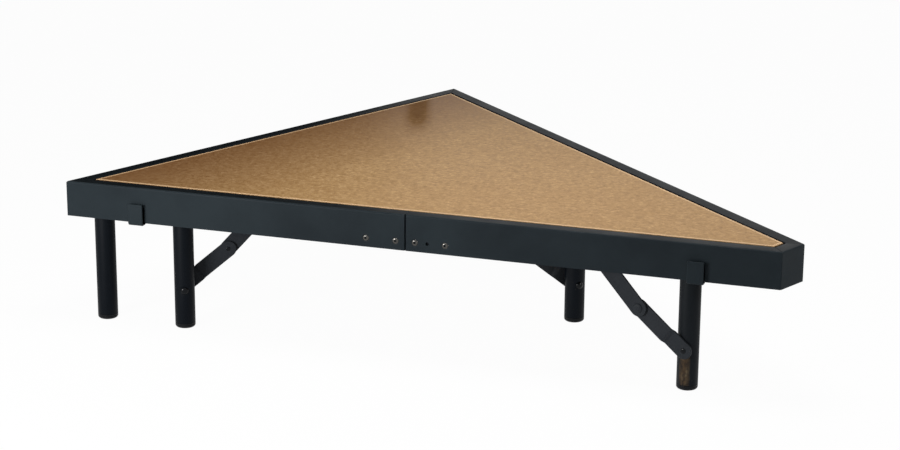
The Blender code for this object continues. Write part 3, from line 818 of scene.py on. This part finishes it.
# %% Splice rivets
def blind_rivet_profile():
    """(r, z) from the tail to the hole's floor; z is out of the web, and the head sits in its dish."""
    seat, tail = -DISH_DEPTH, -8.4 * MM
    flange, flange_edge, dome, mouth = 4.5 * MM, 0.3 * MM, 1.9 * MM, 1.8 * MM
    shank, hole, hole_depth = 2.6 * MM, 1.5 * MM, 3.4 * MM
    bulb = arc((0.6 * MM, tail + 2.2 * MM), 2.8 * MM, -80, 0, 8)
    t = np.linspace(0, 1, 12)
    r = flange + (mouth - flange) * t
    crown = np.column_stack([r, seat + flange_edge + dome * np.sqrt(1 - (1 - t) ** 2)])
    top = crown[-1, 1]
    return np.concatenate(
        [
            [(0.3 * MM, bulb[0, 1])],
            bulb,
            [(shank, tail + 2.4 * MM), (shank, seat), (flange, seat)],
            crown,
            [(hole, top - 0.3 * MM), (hole, top - hole_depth), (0.2 * MM, top - 3.3 * MM)],
        ]
    )


for number, place in enumerate(RIVET_PLACES, 1):
    grid = facing_front(turned(blind_rivet_profile(), 48), SPLICE_X + place, DECK_TOP + RIVET_DROP)
    rivet = surface(f"blind_rivet_{number}", grid)
    dress(rivet, zinc, "deck", "plated", f"splice_rivet_{number}")
print("splice rivets:", len(RIVET_PLACES))

# %% [markdown]
# A leg is steel tube. The CAD tube has flat facets, so a turned tube with a closed wall and lightly
# broken ends takes its place: the profile goes up the outside, over the rim and down the bore.

# %% Leg tubes
TUBE_RADIUS = 14 * MM
TUBE_WALL = 1.6 * MM
TUBE_TOP = 9 * MM
FOOT_HEIGHT = 6.5 * MM
PIVOT_DROP = HINGE_HEIGHT - 55 * MM
DENT_RADIUS, DENT_DEPTH = 8.5 * MM, 1.3 * MM
DENT_ROWS = np.arange(-9.0, 9.1, 0.75) * MM


def tube_profile():
    """(r, z) round the tube's wall: two straight sides joined by quarter-round lips."""
    low = FOOT_HEIGHT + SEAM - HINGE_HEIGHT
    lip = 0.4 * MM
    bore = TUBE_RADIUS - TUBE_WALL
    dense = DENT_ROWS - PIVOT_DROP
    return np.concatenate(
        [
            arc((TUBE_RADIUS - lip, low + lip), lip, -90, 0, 4),
            np.column_stack([np.full(len(dense), TUBE_RADIUS), dense]),
            arc((TUBE_RADIUS - lip, TUBE_TOP - lip), lip, 0, 90, 4),
            arc((bore + lip, TUBE_TOP - lip), lip, 90, 180, 4),
            arc((bore + lip, low + lip), lip, 180, 270, 4),
        ]
    )


def dented(grid, side):
    """Draws the outer wall in round the rivet by depth (1 + cos(pi r / R)) / 2, r measured on the tube."""
    x, y, z = np.moveaxis(grid, -1, 0)
    radius = np.hypot(x, y)
    turn = np.arctan2(x, -side * y)
    r = np.hypot(turn * TUBE_RADIUS, z + PIVOT_DROP) / DENT_RADIUS
    drawn = DENT_DEPTH * (1 + np.cos(math.pi * np.minimum(r, 1))) / 2
    scale = np.where(radius > TUBE_RADIUS - 0.1 * MM, 1 - drawn / TUBE_RADIUS, 1)
    return np.stack([x * scale, y * scale, z], -1)


for leg in LEG_NAMES:
    grid = turned(tube_profile(), 144)
    if leg in BRACE_SIDE:
        grid = dented(grid, BRACE_SIDE[leg])
    tube = surface(f"{leg}_smooth_tube", on_leg(grid, leg), wrap_rows=True)
    dress(tube, worn_and_lit_coat if leg == "tip_leg" else leg_coat, leg, "frame", f"{leg}_tube")
print("tubes:", len(LEG_NAMES))

# %% [markdown]
# Each tube ends in a moulded cap. It has a rounded lower edge, so that it slides over a floor, and a
# shallow groove above it where the mould parted. It is turned as one closed profile with its stem.

# %% Foot caps
def foot_profile():
    """(r, z) from the middle of the sole: a round edge, a groove, the flange and the stem's top."""
    floor = -HINGE_HEIGHT
    edge = 3.6 * MM
    groove = 0.35 * MM
    groove_z = floor + 4.4 * MM
    top = floor + FOOT_HEIGHT
    stem, stem_top = TUBE_RADIUS - TUBE_WALL - SEAM, top + 14 * MM
    middle = 0.3 * MM
    side = arc((TUBE_RADIUS - edge, floor + edge), edge, 270, 360, 12)
    rest = [
        (TUBE_RADIUS, groove_z - groove),
        (TUBE_RADIUS - groove, groove_z),
        (TUBE_RADIUS, groove_z + groove),
        (TUBE_RADIUS, top),
        (stem, top),
        (stem, stem_top),
        (middle, stem_top),
    ]
    return np.concatenate([[(middle, floor)], side, rest])


for leg in LEG_NAMES:
    foot = surface(f"{leg}_foot_cap", on_leg(turned(foot_profile()), leg))
    dress(foot, foot_plastic, leg, "foot", f"{leg}_foot")
print("foot caps:", len(LEG_NAMES))

# %% [markdown]
# A brace link is flat bar with round ends. Its section, a rectangle with broken corners, is carried
# along the link, and it narrows at both ends so that the outline is a half circle there.

# %% Brace links
LINK_THICKNESS, LINK_RADIUS, LINK_BREAK = 3 * MM, 11.2 * MM, 0.4 * MM
SWING, OVER_CENTRE = 0.5 * MM, 0.4 * MM
ANCHOR_BEYOND = 8 * MM
ANCHOR_X = PIVOT_DROP + ANCHOR_BEYOND
LOWER_SIDE = TUBE_RADIUS + SWING
LINK_JOGGLE = 3.5 * MM
JOGGLE_START, JOGGLE_END, JOGGLE_ROUND = 24 * MM, 30 * MM, 1 * MM
UPPER_SIDE = LOWER_SIDE + LINK_JOGGLE + LINK_THICKNESS + SWING


def brace_triangle():
    """Both link lengths and the knee at rest, from the rule that the links fold flat on the leg."""
    reach = math.hypot(ANCHOR_X, PIVOT_DROP)
    both = reach + OVER_CENTRE
    lower, upper = (both - ANCHOR_BEYOND) / 2, (both + ANCHOR_BEYOND) / 2
    along = (lower**2 - upper**2 + reach**2) / (2 * reach)
    aside = math.sqrt(lower**2 - along**2)
    unit = np.array([ANCHOR_X, PIVOT_DROP]) / reach
    knee = np.array([0, -PIVOT_DROP]) + unit * along + np.array([unit[1], -unit[0]]) * aside
    return lower, upper, knee


LOWER_LINK, UPPER_LINK, KNEE = brace_triangle()


def link_grid(start, end, near, joggle):
    """Rows along the link: x = -R cos t at the ends, half width sqrt(R^2 - x^2), corners broken.

    The joggle moves the rows out by joggle * (3 q^2 - 2 q^3), q going from 0 to 1 between its ends.
    The section runs so that the faces look outwards.
    """
    span = end - start
    length = np.linalg.norm(span)
    unit = span / length
    across = np.array([-unit[1], unit[0]])
    t = np.linspace(0.04, math.pi / 2, 14)
    left = -LINK_RADIUS * np.cos(t)
    bend = np.linspace(JOGGLE_START - JOGGLE_ROUND, JOGGLE_END + JOGGLE_ROUND, 13)
    body = np.linspace(bend[-1], length, 7)[1:-1]
    x = np.concatenate([left, [JOGGLE_START / 2], bend, body, length - left[::-1]])
    q = np.clip((x - bend[0]) / (bend[-1] - bend[0]), 0, 1)
    step = joggle * (3 * q**2 - 2 * q**3)
    past = np.maximum(np.maximum(-x, x - length), 0)
    half = np.sqrt(LINK_RADIUS**2 - past**2)
    broken = np.minimum(LINK_BREAK, half / 2)
    half_thick = LINK_THICKNESS / 2
    wide = np.array([-1, -1, -1, 1, 1, 1, 1, -1])
    inset = np.array([0, 0, 1, 1, 0, 0, 1, 1])
    deep = np.array([-1, 1, 1, 1, 1, -1, -1, -1])
    edge = np.array([1, -1, 0, 0, -1, 1, 0, 0])
    v = wide * (half[:, None] - inset * broken[:, None])
    w = deep * half_thick + edge * broken[:, None]
    centre = start + x[:, None] * unit
    plane = centre[:, None, :] + v[..., None] * across
    y = near + math.copysign(1, near) * (half_thick + step[:, None]) + w
    return np.stack([plane[..., 0], y, plane[..., 1]], -1)


for leg, side in BRACE_SIDE.items():
    pivot, anchor = np.array([0, -PIVOT_DROP]), np.array([ANCHOR_X, 0])
    for half, start, near, joggle in (
        ("lower", pivot, side * LOWER_SIDE, LINK_JOGGLE),
        ("upper", anchor, side * UPPER_SIDE, 0),
    ):
        bar = surface(f"{leg}_{half}_bar", on_leg(link_grid(start, KNEE, near, joggle), leg))
        dress(bar, link_coat, f"{leg}_{half}_brace", "frame", f"{leg}_{half}_link")
print("links:", round(LOWER_LINK, 4), round(UPPER_LINK, 4), "knee at rest:", KNEE.round(4))

# %% [markdown]
# Two rivets show on each brace. One goes through the tube, with a dome that sits in the dent it made
# and a small upset end on the link. The knee rivet has a wide low head on one side and a small upset
# end on the other. The anchor pin is hidden under the deck, so the CAD one stays. Each head is a
# turned superellipse, r^n + z^n = 1, which for n above 2 is flatter on top than a ball.

# %% Brace rivets
SHANK_RADIUS, SHANK_LENGTH = 3.2 * MM, 20 * MM
DOME_RADIUS, DOME_HEIGHT, DOME_POWER = 5.6 * MM, 3.4 * MM, 2
UPSET_RADIUS, UPSET_HEIGHT = 3.6 * MM, 1.1 * MM
KNEE_HEAD_RADIUS, KNEE_HEAD_HEIGHT, KNEE_SHANK = 6.2 * MM, 2.0 * MM, 3 * MM
KNEE_END_RADIUS, KNEE_END_HEIGHT = 3.0 * MM, 0.9 * MM
KNEE_END_SHANK = (2.9 * MM, 2.8 * MM)


def head_profile(radius, height, base, shank, power=2.4):
    """(r, z) of a rivet: the end of its shank (radius, length), up to base, then the head's crown."""
    t = np.linspace(0, math.pi / 2, 14)[:-1]
    crown = np.column_stack([radius * np.cos(t) ** (2 / power), base + height * np.sin(t) ** (2 / power)])
    crown[-1, 0] = min(crown[-1, 0], radius / 8)
    across, end = shank[0], base - shank[1]
    return np.concatenate([[(0.2 * MM, end), (across, end), (across, base)], crown])


def facing_side(grid, side, x, y, z):
    """Turns +z of a turned grid to the leg's +-y and moves it to (x, y, z) in leg coordinates."""
    return np.stack([x + side * grid[..., 0], y + side * grid[..., 2], z - grid[..., 1]], -1)


def head(name, leg, body, side, place, profile, *nodes, coat=link_coat):
    piece = surface(name, on_leg(facing_side(turned(profile, 48), side, *place), leg))
    dress(piece, coat, body, "frame", *nodes)


for leg, side in BRACE_SIDE.items():
    pivot, knee = (0, 0, -PIVOT_DROP), (KNEE[0], 0, KNEE[1])
    lower, upper = f"{leg}_lower_brace", f"{leg}_upper_brace"
    shank = (SHANK_RADIUS, SHANK_LENGTH)
    dome = head_profile(DOME_RADIUS, DOME_HEIGHT, TUBE_RADIUS - DENT_DEPTH, shank, DOME_POWER)
    head(f"{leg}_tube_rivet", leg, leg, -side, pivot, dome, f"{leg}_brace_rivet", coat=rivet_coat)
    upset = head_profile(UPSET_RADIUS, UPSET_HEIGHT, LOWER_SIDE + LINK_THICKNESS, shank)
    head(f"{leg}_tube_rivet_end", leg, leg, side, pivot, upset, coat=rivet_coat)
    on_upper, on_lower = UPPER_SIDE + LINK_THICKNESS, -(LOWER_SIDE + LINK_JOGGLE)
    wide = head_profile(KNEE_HEAD_RADIUS, KNEE_HEAD_HEIGHT, on_upper, (SHANK_RADIUS, KNEE_SHANK))
    head(f"{leg}_knee_head", leg, upper, side, knee, wide, f"{leg}_knee_rivet")
    small = head_profile(KNEE_END_RADIUS, KNEE_END_HEIGHT, on_lower, KNEE_END_SHANK)
    head(f"{leg}_knee_end", leg, lower, -side, knee, small, coat=rivet_coat)
print("brace rivets:", 4 * len(BRACE_SIDE))

# %% [markdown]
# The deck stands on a plain floor that melts into a white backdrop. The floor mixes a pale surface
# with white light, mostly white for the rays that look at it, so a faint soft shadow is left to
# keep the deck on the ground.

# %% White floor
def seen_by(ground, path):
    """1 where a camera, glossy or transmission ray looks, so metal shows the white ground too."""
    either = ground.math("MAXIMUM", path.outputs["Is Camera Ray"], path.outputs["Is Glossy Ray"])
    return ground.math("MAXIMUM", either, path.outputs["Is Transmission Ray"])


def shade_floor():
    floor = Finish("pale_floor", 0.9)
    floor.shader.inputs["Base Color"].default_value = (0.9, 0.9, 0.9, 1)
    white = floor.tree.nodes.new("ShaderNodeEmission")
    seen = floor.tree.nodes.new("ShaderNodeLightPath")
    mixed = floor.tree.nodes.new("ShaderNodeMixShader")
    floor.link(floor.math("MULTIPLY", seen_by(floor, seen), 0.97), mixed.inputs[0])
    floor.link(floor.shader.outputs[0], mixed.inputs[1])
    floor.link(white.outputs[0], mixed.inputs[2])
    out = floor.tree.nodes["Material Output"]
    floor.link(mixed.outputs[0], out.inputs["Surface"])
    return floor.material


floor_mesh = bpy.data.meshes.new("floor")
floor_mesh.from_pydata([(-8, -8, 0), (8, -8, 0), (8, 8, 0), (-8, 8, 0)], [], [(0, 1, 2, 3)])
floor = bpy.data.objects.new("floor", floor_mesh)
bpy.context.scene.collection.objects.link(floor)
give_finish(floor, shade_floor())
print("floor placed")

# %% [markdown]
# The world is white to the camera and to reflections, and dim to the rays that gather light, so it
# fills the shadows a little and leaves the modelling to the lamps.

# %% White world
def white_world(light_level):
    """White to the rays that look at it, and light_level to those that gather diffuse light."""
    world = bpy.data.worlds.new("white_surround")
    world.use_nodes = True
    tree = world.node_tree
    seen = tree.nodes.new("ShaderNodeLightPath")
    total = seen.outputs["Is Camera Ray"]
    for ray in ("Is Glossy Ray", "Is Transmission Ray"):
        either = tree.nodes.new("ShaderNodeMath")
        either.operation = "MAXIMUM"
        tree.links.new(total, either.inputs[0])
        tree.links.new(seen.outputs[ray], either.inputs[1])
        total = either.outputs[0]
    level = tree.nodes.new("ShaderNodeMapRange")
    level.inputs["To Min"].default_value = light_level
    tree.links.new(total, level.inputs["Value"])
    back = tree.nodes["Background"]
    tree.links.new(level.outputs["Result"], back.inputs["Strength"])
    back.inputs["Color"].default_value = (1, 1, 1, 1)
    bpy.context.scene.world = world


white_world(0.12)
print("world set")

# %% [markdown]
# A softbox hangs overhead, one stands low at the front left and a weaker one at the right. A black
# card behind the wide end, which only reflections see, keeps the sheen off the panel there.

# %% Card and lamps
def dark_card(name, x_range, y, z_range):
    """A black card that only reflections see; it darkens the sheen on what lies in front of it."""
    (x0, x1), (z0, z1) = x_range, z_range
    mesh = bpy.data.meshes.new(name)
    mesh.from_pydata([(x0, y, z0), (x1, y, z0), (x1, y, z1), (x0, y, z1)], [], [(0, 1, 2, 3)])
    card = bpy.data.objects.new(name, mesh)
    bpy.context.scene.collection.objects.link(card)
    black = Finish("black_card", 1.0)
    black.shader.inputs["Base Color"].default_value = (0, 0, 0, 1)
    black.shader.inputs["Specular IOR Level"].default_value = 0
    give_finish(card, black.material)
    card.visible_camera = card.visible_diffuse = card.visible_shadow = card.visible_transmission = False


def softbox(name, place, target, size, power):
    """An area lamp of size (width, height) in metres that faces target."""
    data = bpy.data.lights.new(name, "AREA")
    data.shape = "RECTANGLE"
    data.size, data.size_y = size
    data.energy = power
    lamp = bpy.data.objects.new(name, data)
    bpy.context.scene.collection.objects.link(lamp)
    from_target = np.array(place, float) - np.array(target, float)
    back = from_target / np.linalg.norm(from_target)
    right = np.cross([0, 0, 1.0], back)
    right = right / np.linalg.norm(right) if np.linalg.norm(right) > 1e-6 else np.array([1.0, 0, 0])
    matrix = np.eye(4)
    matrix[:3, :3] = np.column_stack([right, np.cross(back, right), back])
    matrix[:3, 3] = place
    lamp.matrix_world = Matrix(matrix.tolist())


softbox("overhead", (0.15, -0.3, 1.25), (0.15, -0.3, 0.2), (0.5, 0.5), 9)
softbox("front_left", (-0.75, -1.6, 0.42), (-0.25, -0.38, 0.15), (0.5, 0.5), 17.5)
softbox("right", (2.0, -0.4, 0.6), (0.45, -0.35, 0.15), (0.3, 0.3), 7)
dark_card("dark_card_left", (-2.6, -0.72), 1.5, (0.02, 1.8))
bpy.context.scene.view_settings.view_transform = "Standard"
print("card and lamps placed")

bpy.context.view_layer.update()
